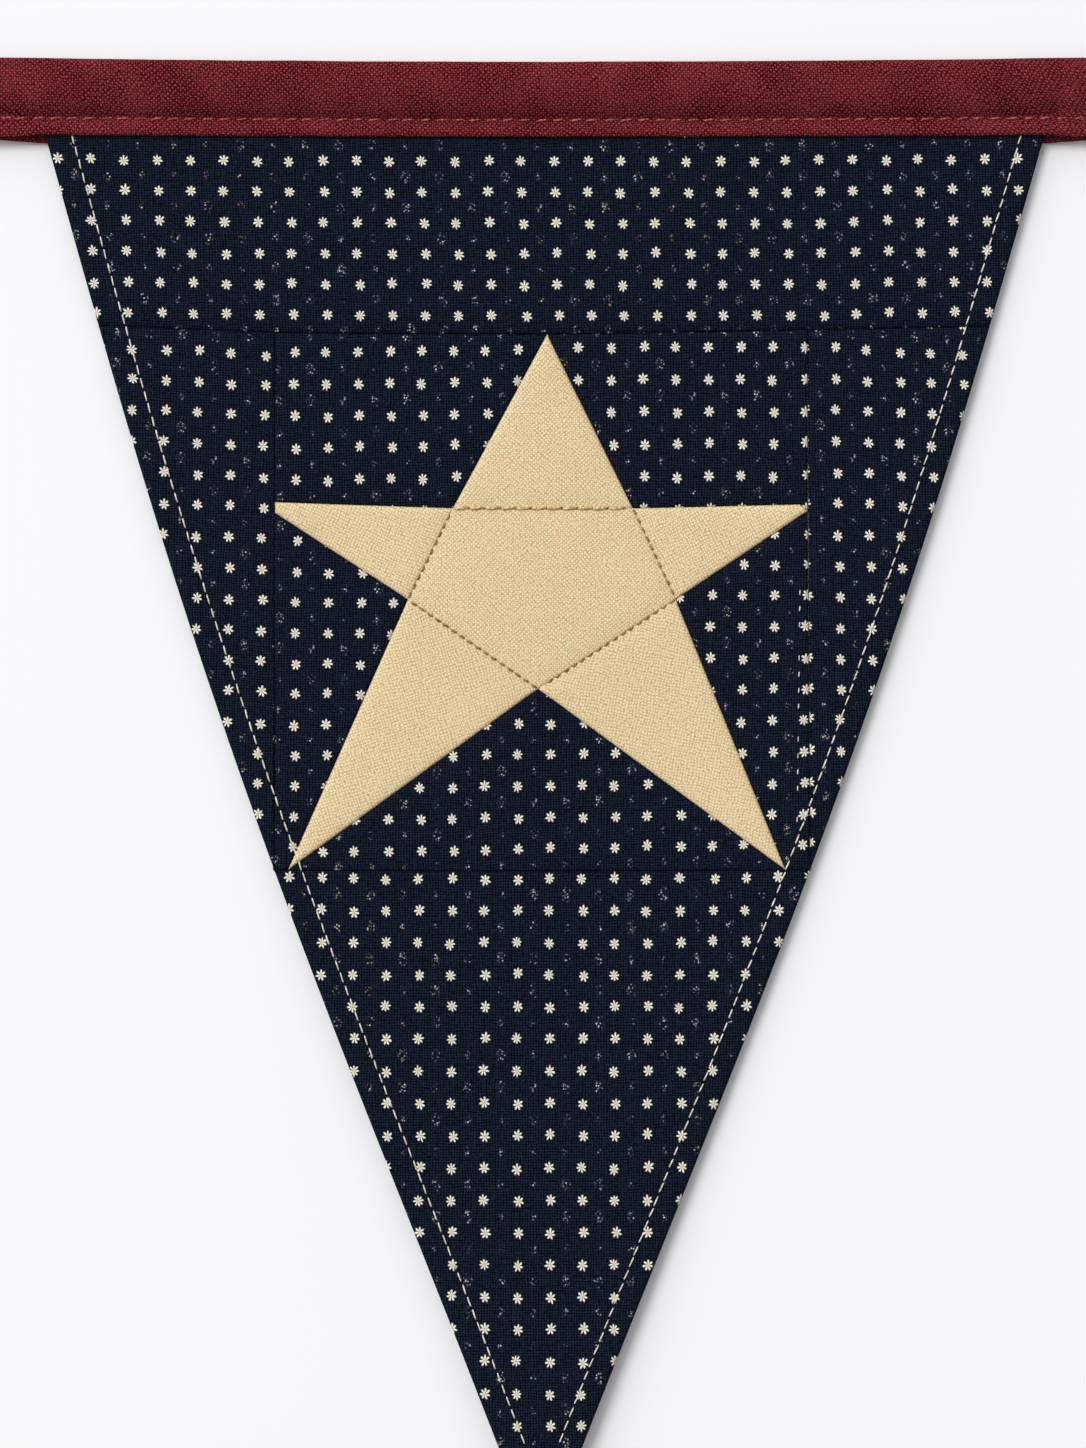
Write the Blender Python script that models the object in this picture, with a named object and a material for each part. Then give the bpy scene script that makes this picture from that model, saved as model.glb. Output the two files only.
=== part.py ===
"""A pieced star pennant of a bunting, hanging from its folded tape.

Metres, +Z up. X runs along the tape and Y from the front of the cloth to its back. The origin is the
middle of the tape's top edge, half-way through its thickness.
"""

import math
from collections import namedtuple

import bmesh
import bpy
from mathutils import Vector

MM = 0.001

# Cloth
SHEET = 1.0 * MM  # thickness of one piece with its seam allowances
GAP = 0.3 * MM  # between pieces that are sewn to each other
SEAM_DIP = 0.3 * MM  # how far the front drops towards each seam and edge
GRID = 9 * MM  # spacing of the cuts that let a piece bend

# Tape
TAPE_LENGTH = 250 * MM
TAPE_HEIGHT = 14.7 * MM  # from the fold to the front leaf's lower edge
TAPE_BACK_DROP = 0.9 * MM  # how much lower the back leaf ends
TAPE_LEAF = 1.0 * MM  # thickness of one leaf, its edge turned in
TAPE_RISE = 0.8 * MM  # how much higher the tape is at RISE_REACH than in the middle
RISE_REACH = 103 * MM
FOLD_STEPS = 6  # facets round the top fold

# How far each leaf's inner face stands off the middle plane, in millimetres, going out from the middle
Leaves = namedtuple("Leaves", "from_middle front back")
LEAF_TABLE = (
    Leaves(0, 0.8, 0.8),
    Leaves(82, 0.8, 0.8),
    Leaves(87, 0.8, 1.4),  # the pennant's hem lies in the fold here
    Leaves(101, 0.8, 1.4),
    Leaves(107, 0.15, 0.15),  # the leaves meet beyond the pennant
    Leaves(117, 0.15, 0.15),
    Leaves(118.5, 0.35, 0.35),  # the end is turned in
    Leaves(TAPE_LENGTH / 2 / MM, 0.35, 0.35),
)

# Pennant
HALF_WIDTH = 95.5 * MM  # where it comes out of the tape
DROP = 270.3 * MM  # from the tape's lower edge to the point
SIDE_BOW = 6.15 * MM  # how far the slanted sides swell
BOW_FADE = 0.62  # share of the swell lost at the point
LEAN = -0.95 * MM  # sideways shift of the point
MIDDLE = 0.17 * MM  # middle of the pennant at the tape
HALF_TIP = 0.8 * MM  # half the blunt end
IN_FOLD = 12.2 * MM  # how far the top strip reaches up into the tape
HEM_WIDTH = 6.5 * MM
HEM_THICKNESS = 0.6 * MM

# Star block, in millimetres from the middle of the tape's top edge
STRIP_SEAM = -51.6
BLOCK_SEAM = -154.7
Corner = namedtuple("Corner", "name x z")
CORNERS = (
    Corner("block_top_left", -51.4, STRIP_SEAM),
    Corner("block_top_right", 50.4, STRIP_SEAM),
    Corner("top_tip", 0.6, STRIP_SEAM),
    Corner("left_tip_upper", -51.4, -84.4),
    Corner("left_tip_lower", -51.4, -86.5),
    Corner("right_tip_upper", 48.9, -84.8),
    Corner("right_tip_lower", 50.4, -86.1),
    Corner("low_left_tip", -48.9, BLOCK_SEAM),
    Corner("low_right_tip", 46.2, BLOCK_SEAM),
    Corner("inner_top_left", -17.4, -85.4),
    Corner("inner_top_right", 17.0, -85.4),
    Corner("inner_left", -26.0, -102.9),
    Corner("inner_right", 25.2, -102.8),
    Corner("inner_low", -1.15, -119.9),
)

# Drape of the pennant: soft vertical waves that grow downwards, and a point that swings forward
Wave = namedtuple("Wave", "height length slant phase")
WAVES = (
    Wave(0.9 * MM, 150 * MM, 0.15, 0.9),
    Wave(0.45 * MM, 83 * MM, -0.4, 2.6),
)
POINT_SWING = -1.6 * MM

NAVY = (0.010, 0.013, 0.024)
CREAM = (0.74, 0.57, 0.33)
BURGUNDY = (0.13, 0.017, 0.021)
CLOTH_ROUGHNESS = 0.9

ON_PLANE = 1e-6  # a point this near a cut counts as on it


def clear_scene():
    for obj in list(bpy.data.objects):
        bpy.data.objects.remove(obj)


def depth_share(z):
    """0 at the tape's lower edge and 1 at the point."""
    return (-TAPE_HEIGHT - z) / DROP


def half_width(z):
    t = depth_share(z)
    return HALF_WIDTH * (1 - t) + SIDE_BOW * math.sin(math.pi * t) * (1 - BOW_FADE * t * t)


def side_point(side, z):
    """The point of the left (-1) or right (1) slanted side at height z."""
    middle = MIDDLE + LEAN * max(0, depth_share(z))
    return (middle + side * half_width(z), z)


def side_run(side, high, low):
    """Points down one slanted side, one at each height where the grid cuts it."""
    heights = [high]
    cut = math.ceil(high / GRID) - 1
    while cut * GRID > low:
        if high - cut * GRID > GAP:
            heights.append(cut * GRID)
        cut -= 1
    heights.append(low)
    return [side_point(side, z) for z in heights]


def tip_height():
    """Height at which the pennant has narrowed to its blunt end."""
    z = -TAPE_HEIGHT - DROP
    while half_width(z) < HALF_TIP:
        z += GAP
    return z


def rise(x):
    return TAPE_RISE * (x / RISE_REACH) ** 2


def drape(x, z):
    t = max(0, depth_share(z))
    waves = sum(
        wave.height * math.sin(2 * math.pi * (x + wave.slant * z) / wave.length + wave.phase)
        for wave in WAVES
    )
    return t * waves + POINT_SWING * t * t


def add_object(name, bm, colour):
    bmesh.ops.recalc_face_normals(bm, faces=bm.faces)
    mesh = bpy.data.meshes.new(name)
    bm.to_mesh(mesh)
    bm.free()
    material = bpy.data.materials.new(name + "_cloth")
    material.use_nodes = True
    shader = material.node_tree.nodes["Principled BSDF"]
    shader.inputs["Base Color"].default_value = (*colour, 1)
    shader.inputs["Roughness"].default_value = CLOTH_ROUGHNESS
    shader.inputs["Metallic"].default_value = 0
    mesh.materials.append(material)
    obj = bpy.data.objects.new(name, mesh)
    bpy.context.scene.collection.objects.link(obj)
    return obj


def cut(bm, point, normal):
    bmesh.ops.bisect_plane(
        bm,
        geom=bm.verts[:] + bm.edges[:] + bm.faces[:],
        dist=ON_PLANE,
        plane_co=point,
        plane_no=normal,
    )


def cut_grid(bm):
    """Cuts the flat piece along every grid line that crosses it, so that it can bend."""
    for axis in (0, 2):
        across = [v.co[axis] for v in bm.verts]
        normal = Vector([float(i == axis) for i in range(3)])
        for step in range(math.ceil(min(across) / GRID), math.ceil(max(across) / GRID)):
            cut(bm, normal * step * GRID, normal)


def hem_line(side, high, low):
    """A point on the hem's inner edge and the direction across it, pointing outwards."""
    top = Vector((side_point(side, high)[0], 0, high))
    bottom = Vector((side_point(side, low)[0], 0, low))
    outward = (bottom - top).cross(Vector((0, side, 0))).normalized()
    return (top + bottom) / 2 - outward * HEM_WIDTH, outward


def extrude_back(bm, faces, distance):
    edges = {edge for face in faces for edge in face.edges}
    moved = bmesh.ops.extrude_face_region(bm, geom=faces + list(edges))["geom"]
    verts = [item for item in moved if isinstance(item, bmesh.types.BMVert)]
    bmesh.ops.translate(bm, verts=verts, vec=(0, distance, 0))
    return [item for item in moved if isinstance(item, bmesh.types.BMFace)]


def make_piece(name, outline, colour, hems=()):
    """One cut piece of cloth: a flat outline (x, z), cut, thickened, hemmed at the back and draped."""
    bm = bmesh.new()
    face = bm.faces.new([bm.verts.new((x, -SHEET / 2, z)) for x, z in outline])
    face.normal_update()
    trim = bmesh.ops.inset_region(
        bm, faces=[face], thickness=GAP / 2, use_boundary=True, use_even_offset=True
    )
    bmesh.ops.delete(bm, geom=trim["faces"], context="FACES")
    cut_grid(bm)
    for point, outward in hems:
        cut(bm, point, outward)
    front = bm.verts[:]
    rim = [v for v in front if v.is_boundary]
    back = extrude_back(bm, bm.faces[:], SHEET)
    bmesh.ops.translate(bm, verts=rim, vec=(0, SEAM_DIP, 0))
    turned = [
        face
        for face in back
        if any((face.calc_center_median() - point).dot(outward) > 0 for point, outward in hems)
    ]
    if turned:
        extrude_back(bm, turned, HEM_THICKNESS)
    for v in bm.verts:
        v.co.y += drape(v.co.x, v.co.z)
        v.co.z += rise(v.co.x)
    return add_object(name, bm, colour)


def leaf_offsets(x):
    """How far the front and the back leaf stand off the middle plane at x."""
    out = min(abs(x) / MM, LEAF_TABLE[-1].from_middle)
    for near, far in zip(LEAF_TABLE, LEAF_TABLE[1:]):
        if out <= far.from_middle:
            share = (out - near.from_middle) / (far.from_middle - near.from_middle)
            front = near.front + (far.front - near.front) * share
            back = near.back + (far.back - near.back) * share
            return front * MM, back * MM


def tape_section(x):
    """The folded tape's outline at x: over the fold, down the back, up the slot and down the front."""
    front, back = leaf_offsets(x)
    middle = (back - front) / 2
    reach = (back + front) / 2 + TAPE_LEAF
    low = -TAPE_HEIGHT
    fold = [
        (middle - reach * math.cos(turn), -TAPE_LEAF + TAPE_LEAF * math.sin(turn))
        for turn in (math.pi * step / FOLD_STEPS for step in range(FOLD_STEPS + 1))
    ]
    slot = [
        (back + TAPE_LEAF, low - TAPE_BACK_DROP),
        (back, low - TAPE_BACK_DROP),
        (back, -TAPE_LEAF),
        (-front, -TAPE_LEAF),
        (-front, low),
        (-front - TAPE_LEAF, low),
    ]
    return [(x, y, z + rise(x)) for y, z in fold + slot]


def tape_stations():
    """Places along the tape: each row of the leaf table, and steps of the grid between them."""
    half = {row.from_middle * MM for row in LEAF_TABLE[1:]}
    half |= {GRID * step for step in range(1, int(LEAF_TABLE[1].from_middle * MM / GRID) + 1)}
    return sorted({-x for x in half} | {0.0} | half)


def make_tape():
    bm = bmesh.new()
    rings = []
    for x in tape_stations():
        verts = [bm.verts.new(co) for co in tape_section(x)]
        rings.append([bm.edges.new((a, b)) for a, b in zip(verts, verts[1:] + verts[:1])])
    for near, far in zip(rings, rings[1:]):
        bmesh.ops.bridge_loops(bm, edges=near + far)
    for ring in (rings[0], rings[-1]):
        bmesh.ops.contextual_create(bm, geom=ring)
    return add_object("tape", bm, BURGUNDY)


def make_navy_pieces(at):
    strip, block, tip = STRIP_SEAM * MM, BLOCK_SEAM * MM, tip_height()
    top = -TAPE_HEIGHT + IN_FOLD
    make_piece(
        "top_strip",
        side_run(-1, top, strip) + side_run(1, top, strip)[::-1],
        NAVY,
        [hem_line(side, top, strip) for side in (-1, 1)],
    )
    for name, side, corner in (
        ("left_side", -1, "block_top_left"),
        ("right_side", 1, "block_top_right"),
    ):
        outline = side_run(side, strip, block) + [at[corner]]
        make_piece(name, outline[::-side], NAVY, [hem_line(side, strip, block)])
    make_piece(
        "tip_piece",
        side_run(-1, block, tip) + side_run(1, block, tip)[::-1],
        NAVY,
        [hem_line(side, block, tip) for side in (-1, 1)],
    )
    grounds = (
        ("ground_top_left", "block_top_left left_tip_upper inner_top_left top_tip"),
        ("ground_top_right", "top_tip inner_top_right right_tip_upper right_tip_lower block_top_right"),
        ("ground_low_left", "left_tip_lower block_low_left low_left_tip inner_left"),
        ("ground_low_right", "right_tip_lower inner_right low_right_tip block_low_right"),
        ("ground_low_middle", "inner_low low_left_tip low_right_tip"),
    )
    for name, corners in grounds:
        make_piece(name, [at[corner] for corner in corners.split()], NAVY)


def make_star(at):
    pieces = (
        ("star_top", "top_tip inner_top_left inner_top_right"),
        ("star_left", "left_tip_upper left_tip_lower inner_left inner_top_left"),
        ("star_right", "right_tip_upper inner_top_right inner_right right_tip_lower"),
        ("star_low_left", "inner_left low_left_tip inner_low"),
        ("star_low_right", "inner_right inner_low low_right_tip"),
        ("star_centre", "inner_top_left inner_left inner_low inner_right inner_top_right"),
    )
    for name, corners in pieces:
        make_piece(name, [at[corner] for corner in corners.split()], CREAM)


def main():
    clear_scene()
    at = {corner.name: (corner.x * MM, corner.z * MM) for corner in CORNERS}
    at["block_low_left"] = side_point(-1, BLOCK_SEAM * MM)
    at["block_low_right"] = side_point(1, BLOCK_SEAM * MM)
    make_tape()
    make_navy_pieces(at)
    make_star(at)


main()
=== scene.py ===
import math
import random

import bmesh
import bpy
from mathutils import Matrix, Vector, noise
from mathutils.bvhtree import BVHTree


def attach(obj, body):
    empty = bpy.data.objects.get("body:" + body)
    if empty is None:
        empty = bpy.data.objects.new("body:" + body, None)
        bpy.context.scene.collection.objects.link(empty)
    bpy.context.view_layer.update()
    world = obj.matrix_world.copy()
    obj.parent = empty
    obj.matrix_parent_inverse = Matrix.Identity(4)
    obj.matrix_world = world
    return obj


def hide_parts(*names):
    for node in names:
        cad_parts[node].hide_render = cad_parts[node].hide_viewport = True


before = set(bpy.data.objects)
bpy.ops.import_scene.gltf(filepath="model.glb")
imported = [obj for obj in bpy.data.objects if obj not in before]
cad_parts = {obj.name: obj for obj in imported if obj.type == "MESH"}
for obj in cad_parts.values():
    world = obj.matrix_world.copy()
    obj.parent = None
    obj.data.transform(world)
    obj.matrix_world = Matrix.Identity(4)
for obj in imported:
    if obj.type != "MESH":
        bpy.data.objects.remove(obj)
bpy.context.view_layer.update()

# Every size is in millimetres until a mesh is finished, and x, z start at the middle of the tape's top edge.
# Front faces look along -Y.
mm = 0.001
uvName = "clothPlan"  # the cloth laid flat, so that print and weave follow the threads
onLine = 0.004  # a vertex this near a side lies on it
weldDistance = 0.01

pennant = {
    "tapeHeight": 14.7,
    "halfWidth": 95.5,  # where it comes out of the tape
    "drop": 270.3,  # tape's lower edge to the point
    "sideBow": 6.15,  # how far the slanted sides swell past straight
    "bowFade": 0.62,  # share of that which they lose towards the point
    "lean": -0.95,  # the point hangs this far to the left
    "middle": 0.17,
    "halfTip": 0.8,  # half the width where the point ends blunt, looked for in steps
    "tipStep": 0.3,
    "inFold": 12.2,  # how far the top strip goes up into the tape
    "tapeRise": 0.8,  # how much higher the tape lies this far out from the middle
    "riseReach": 103.0,
    "pointSwing": -1.6,
    "waves": ((0.9, 150.0, 0.15, 0.9), (0.45, 83.0, -0.4, 2.6)),  # height, length, slant, phase
    "mesh": 1.15,  # spacing of the cuts that let the cloth bend
    "rings": (0.22, 0.38),  # widths of the first faces in from an edge, where it turns over
}

cloth = {
    "thickness": 0.27,
    "front": -0.5,  # y of a flat front face
    "seamY": -0.08,  # y of the fold where two pieces are sewn together
    "inTapeY": -0.2,  # pressed flat by the tape's stitching
    "intoTape": (0.8, 1.5),  # how far inside the tape's edge that starts, and how long it takes
    "unevenWide": (15.0, 0.10),  # size and height of the unevenness
    "unevenFine": (5.5, 0.035),
    "unevenLayer": 3.7,  # each unevenness has a place of its own in the noise
    "puckerLayer": 9.1,
    "pucker": (3.4, 0.055, 2.6),  # size, height and reach of the puckers along a seam
    "sinkReach": 0.8,
    "turnTakes": 0.4,  # cloth used up by the turn of a fold
}

# How each kind of side is finished: crown is how far the cloth swells beside it and reach how fast, sink
# lowers the cloth right beside the seam, roll is how far in the cloth turns over, and under is the fold
# behind as (inwards, y) steps, an allowance where nothing else is said.
allowance = ((0.05, 0.13), (0.3, 0.25), (1.3, 0.27), (2.5, 0.28), (3.7, 0.29), (4.8, 0.31))
doubleHem = (
    (0.02, 0.2), (0.1, 0.5), (0.4, 0.74), (1.5, 0.84), (2.9, 0.85), (4.3, 0.8), (5.5, 0.82), (6.3, 0.76),
    (6.6, 0.55), (6.55, 0.25), (6.2, 0.08), (4.8, 0.05), (3.4, 0.05), (2.0, 0.05),
)
sideKinds = {
    "seam": {"crown": 0.2, "reach": 2.2, "sink": 0.38, "roll": 0.8, "seamY": 0.08},
    "flat": {"crown": 0.08, "reach": 1.5, "sink": 0.0, "roll": 0.3},  # well pressed
    "star": {"crown": 0.3, "reach": 2.6, "sink": 0.1, "roll": 0.3, "seamY": -0.34},
    # cream beside navy, then navy beside cream
    "over": {"crown": 0.26, "reach": 1.2, "sink": -0.05, "roll": 0.6},
    "below": {"crown": 0.2, "reach": 1.8, "sink": 0.16, "roll": 0.6},
    "hem": {"crown": 0.12, "reach": 1.0, "sink": 0.0, "roll": 0.6, "under": doubleHem},
    "raw": {"crown": 0.0, "reach": 1.0, "sink": 0.0, "roll": 0.6},
}
# The folds behind lift the face by a little over their width, and each hem is sewn along a stitch line
seamFold = {"width": 4.8, "lift": 0.05, "liftEnd": 0.35}
hem = {
    "width": 6.6, "lift": 0.1, "liftEnd": 0.4,
    "stitchLine": {-1: 4.95, 1: 4.4},  # in from the left and from the right side
    "groove": 0.13, "grooveReach": 0.55,
    "clear": 0.3,  # gap between the hem and the end of an allowance
}

blockSeam = -154.7
stripEnds = (-51.0, -51.15)  # where the seam under the top strip reaches the left and right side
corners = {
    "blockTopLeft": (-51.4, -52.0),
    "blockTopRight": (50.4, -51.45),
    "topTip": (0.6, -52.1),
    "leftTipUpper": (-51.4, -84.4),
    "leftTipLower": (-51.4, -86.5),
    "rightTipUpper": (48.9, -84.8),
    "rightTipLower": (50.4, -86.1),
    "lowLeftTip": (-48.9, blockSeam),
    "lowRightTip": (46.2, blockSeam),
    "innerTopLeft": (-17.4, -85.4),
    "innerTopRight": (17.0, -85.4),
    "innerLeft": (-26.0, -102.9),
    "innerRight": (25.2, -102.8),
    "innerLow": (-1.15, -119.9),
}

# Piece, cloth, corners in order, and the kind of side that leaves each corner
blockPieces = (
    ("ground_top_left", "navy", "blockTopLeft leftTipUpper innerTopLeft topTip", "flat below below seam"),
    ("ground_top_right", "navy", "topTip innerTopRight rightTipUpper rightTipLower blockTopRight",
     "below below below flat seam"),
    ("ground_low_left", "navy", "leftTipLower blockLowLeft lowLeftTip innerLeft", "flat flat below below"),
    ("ground_low_right", "navy", "rightTipLower innerRight lowRightTip blockLowRight",
     "below below flat flat"),
    ("ground_low_middle", "navy", "innerLow lowLeftTip lowRightTip", "below flat below"),
    ("star_top", "cream", "topTip innerTopLeft innerTopRight", "over star over"),
    ("star_left", "cream", "leftTipUpper leftTipLower innerLeft innerTopLeft", "over over star over"),
    ("star_right", "cream", "rightTipUpper innerTopRight innerRight rightTipLower", "over star over over"),
    ("star_low_left", "cream", "innerLeft lowLeftTip innerLow", "over over star"),
    ("star_low_right", "cream", "innerRight innerLow lowRightTip", "star over over"),
    ("star_centre", "cream", "innerTopLeft innerLeft innerLow innerRight innerTopRight",
     "star star star star star"),
)

# How the cloth lies on each piece: turn of its warp and of its weft in degrees, size of one step of the plan
# across and down (on navy one repeat of the print), and where a step has its middle (on navy a flower).
grains = {
    "top_strip": (-1.6, 0.0, 6.32, 5.86, 2.3, -31.0),
    "ground_top_left": (-1.0, -1.25, 6.09, 6.04, -35.3, -67.9),
    "ground_top_right": (-0.6, 0.1, 6.17, 6.13, 31.5, -67.1),
    "ground_low_left": (0.8, 0.2, 6.19, 5.79, -41.3, -115.3),
    "ground_low_right": (0.85, -0.25, 6.04, 5.96, 43.9, -114.2),
    "ground_low_middle": (0.25, -0.9, 6.19, 5.96, 1.2, -144.45),
    "left_side": (0.75, 2.1, 6.3, 5.85, -59.9, -79.5),
    "right_side": (-0.9, 3.2, 6.1, 5.9, 62.05, -79.15),
    "tip_piece": (0.0, 0.0, 6.23, 6.13, 1.1, -199.0),
    "star_top": (-1.5, -1.5, 10, 10, 0, 0),
    "star_left": (-21.0, -21.0, 10, 10, 3, 1),
    "star_right": (17.0, 17.0, 10, 10, 2, 7),
    "star_low_left": (28.0, 28.0, 10, 10, 5, 2),
    "star_low_right": (-33.0, -33.0, 10, 10, 1, 6),
    "star_centre": (2.0, 2.0, 10, 10, 4, 4),
}


def linear(code):  # sRGB hex to the linear values that a shader takes
    parts = [int(code[i:i + 2], 16) / 255 for i in (1, 3, 5)]
    return (*[c / 12.92 if c <= 0.04045 else ((c + 0.055) / 1.055) ** 2.4 for c in parts], 1.0)


def addNode(tree, kind, inputs, out=0, **settings):
    # Adds one node, sets it, links it, returns an output. The kind names its operation too, as in "Math ADD".
    kind, _, operation = kind.partition(" ")
    made = tree.nodes.new("ShaderNode" + kind)
    if operation:
        made.operation = operation
    for name, value in settings.items():
        setattr(made, name, value)
    for socket, value in inputs.items():
        if isinstance(value, bpy.types.NodeSocket):
            tree.links.new(value, made.inputs[socket])
        else:
            made.inputs[socket].default_value = value
    return made.outputs[out]


def newMaterial(name, **sockets):
    material = bpy.data.materials.new(name)
    material.use_nodes = True
    shader = material.node_tree.nodes["Principled BSDF"]
    for socket, value in sockets.items():
        shader.inputs[socket.replace("_", " ")].default_value = value
    return material, material.node_tree, shader


# How fast the threads' unevenness changes, as a share of their count
threadScale = {"drift": 0.14, "across": 0.8, "along": 0.09, "spark": 0.9}


def plainWeave(tree, place, look):
    # A plain weave: its height from 0 in the holes to 1 on the crowns, how near a point is to the middle of a
    # crossing, and whether the warp or the weft is on top there, which take turns.
    threads, wander = look["threads"], look["wander"]
    scale = threads * threadScale["drift"]
    drift = addNode(tree, "TexNoise", {"Vector": place, "Scale": scale, "Detail": 1.0}, out=1)
    drift = addNode(tree, "VectorMath SUBTRACT", {0: drift, 1: (0.5, 0.5, 0.5)})
    drift = addNode(tree, "VectorMath MULTIPLY", {0: drift, 1: (wander, wander, 0)})
    counted = addNode(tree, "VectorMath MULTIPLY_ADD", {0: place, 1: (threads, threads, 0), 2: drift})
    turned = addNode(tree, "VectorMath MULTIPLY", {0: counted, 1: (math.pi, math.pi, 0)})
    waves = addNode(tree, "VectorMath SINE", {0: turned})
    parts = addNode(tree, "SeparateXYZ", {0: waves}).node
    warp = addNode(tree, "Math ABSOLUTE", {0: parts.outputs[0]})
    weft = addNode(tree, "Math ABSOLUTE", {0: parts.outputs[1]})
    crossing = addNode(tree, "Math MULTIPLY", {0: parts.outputs[0], 1: parts.outputs[1]})
    onTop = addNode(tree, "Math MULTIPLY_ADD", {0: crossing, 1: 0.5, 2: 0.5})
    height = addNode(tree, "Mix", {0: onTop, 2: weft, 3: warp})
    crown = addNode(tree, "Math MULTIPLY", {0: warp, 1: weft})
    return height, crown, onTop


def threadTone(tree, place, look):
    # Each thread is a little darker or lighter than the next: streaks along the warp and along the weft
    across, along = [look["threads"] * threadScale[way] for way in ("across", "along")]
    warp = addNode(tree, "Mapping", {0: place, 3: (across, along, 1)})
    weft = addNode(tree, "Mapping", {0: place, 3: (along, across, 1)})
    warp = addNode(tree, "TexNoise", {"Vector": warp, "Scale": 1.0, "Detail": 0.0})
    weft = addNode(tree, "TexNoise", {"Vector": weft, "Scale": 1.0, "Detail": 0.0})
    both = addNode(tree, "Math ADD", {0: warp, 1: weft})
    return addNode(tree, "Math MULTIPLY", {0: both, 1: 0.5})


def threadSpark(tree, place, look):  # small pale dots where a thread catches the light
    scale = look["threads"] * threadScale["spark"]
    return addNode(tree, "TexNoise", {"Vector": place, "Scale": scale, "Detail": 0.0})


def addUp(tree, total, parts):  # adds each part by its weight, and keeps the sum between 0 and 1
    for part, weight in parts:
        total = addNode(tree, "Math MULTIPLY_ADD", {0: part, 1: weight, 2: total})
    total.node.use_clamp = True
    return total


def dressShader(tree, shader, colour, height, depth):
    bump = addNode(tree, "Bump", {"Height": height, "Distance": depth * mm, "Strength": 1.0})
    tree.links.new(bump, shader.inputs["Normal"])
    tree.links.new(colour, shader.inputs["Base Color"])


def clothShader(name, look):
    material, tree, shader = newMaterial(name, Roughness=look["roughness"], Specular_IOR_Level=look["shine"])
    return material, tree, shader, addNode(tree, "UVMap", {}, uv_map=uvName)


# Indigo-dyed quilting cotton, plain weave, printed with small ecru flowers: matt, faintly grainy, near black.
# Lengths are shares of one repeat of the print, about 6.1 mm.
navyLook = {
    # real threads lie 0.25 mm apart and would not show, so these are 0.5 mm apart
    "threads": 12, "wander": 1.4, "sparkle": 0.7, "toneDepth": 0.4, "weaveDepth": 0.8, "start": -0.55,
    "hollow": "#02050B", "crown": "#252D40",
    "petal": "#F3ECDA", "flowerHeart": "#8A7C5C", "fleck": "#E2E4E2",
    "sway": 0.12, "swayRepeat": 0.45,  # how far the printed rows stray from straight, and how often
    "scatter": 0.07,  # how far a flower stands from its place
    "flowerSize": 0.166,
    "flowerShape": (1.09, 0.95, 0),  # a little taller than wide
    "petals": (1.5, 7.0),  # seven, and eight on every third flower
    "petalTurn": (1.1, -0.55),
    "notch": 0.72,  # how deep the cuts between petals go
    "ragged": 0.08, "raggedRepeat": 12.0,
    "edge": 0.014,
    "fleckSize": (0.46, 0.26),  # of one fleck's cell, to where it ends and where it is full
    "fleckRepeat": 15.0,
    "fleckRare": 2.6,
    "clusterShape": (1.2, 0.8, 0),
    "clusterSize": (0.1, 0.045),  # how much it varies, and the least
    "clusterEdge": (-0.06, 0.02),
    "roughness": 0.95, "shine": 0.03, "bump": 0.05,
}


def printCell(tree, place, middle):  # chances of the repeat that a point is in, and its place from the middle
    cell = addNode(tree, "VectorMath FLOOR", {0: place})
    chance = addNode(tree, "TexWhiteNoise", {"Vector": cell}).node
    local = addNode(tree, "VectorMath FRACTION", {0: place})
    local = addNode(tree, "VectorMath SUBTRACT", {0: local, 1: (middle, middle, 0)})
    return chance.outputs["Value"], chance.outputs["Color"], local


def printedFlowers(tree, plan, swayed, look):
    # A flower in the middle of every repeat, one of its petals pointing up: where it is inked, and how far
    # out from its heart
    scatter = look["scatter"]
    amount, colour, local = printCell(tree, swayed, 0.5 + scatter / 2)
    local = addNode(tree, "VectorMath MULTIPLY_ADD", {0: colour, 1: (scatter, scatter, 0), 2: local})
    flat = addNode(tree, "VectorMath MULTIPLY", {0: local, 1: look["flowerShape"]})
    radius = addNode(tree, "VectorMath LENGTH", {0: flat}, out=1)
    parts = addNode(tree, "SeparateXYZ", {0: flat}).node
    angle = addNode(tree, "Math ARCTAN2", {0: parts.outputs[0], 1: parts.outputs[1]})
    more, fewest = look["petals"]
    petals = addNode(tree, "Math MULTIPLY_ADD", {0: amount, 1: more, 2: fewest})
    petals = addNode(tree, "Math FLOOR", {0: petals})
    around = addNode(tree, "Math MULTIPLY", {0: angle, 1: petals})
    more, least = look["petalTurn"]
    lean = addNode(tree, "Math MULTIPLY_ADD", {0: amount, 1: more, 2: least})
    around = addNode(tree, "Math MULTIPLY_ADD", {0: around, 1: 0.5, 2: lean})
    petal = addNode(tree, "Math COSINE", {0: around})
    petal = addNode(tree, "Math ABSOLUTE", {0: petal})
    rag = look["ragged"]
    ragged = addNode(tree, "TexNoise", {"Vector": plan, "Scale": look["raggedRepeat"], "Detail": 0.0})
    ragged = addNode(tree, "Math MULTIPLY_ADD", {0: ragged, 1: rag, 2: -rag / 2})
    size, notch = look["flowerSize"], look["notch"]
    reach = addNode(tree, "Math MULTIPLY_ADD", {0: petal, 1: size * notch, 2: size * (1 - notch)})
    reach = addNode(tree, "Math ADD", {0: reach, 1: ragged})
    inside = addNode(tree, "Math SUBTRACT", {0: reach, 1: radius})
    flower = addNode(tree, "MapRange", {0: inside, 1: -look["edge"], 2: look["edge"]})
    outward = addNode(tree, "Math MULTIPLY_ADD", {0: radius, 1: 2.0, 2: petal})
    return flower, addNode(tree, "MapRange", {0: outward, 1: 0.3, 2: 1.0})


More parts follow.
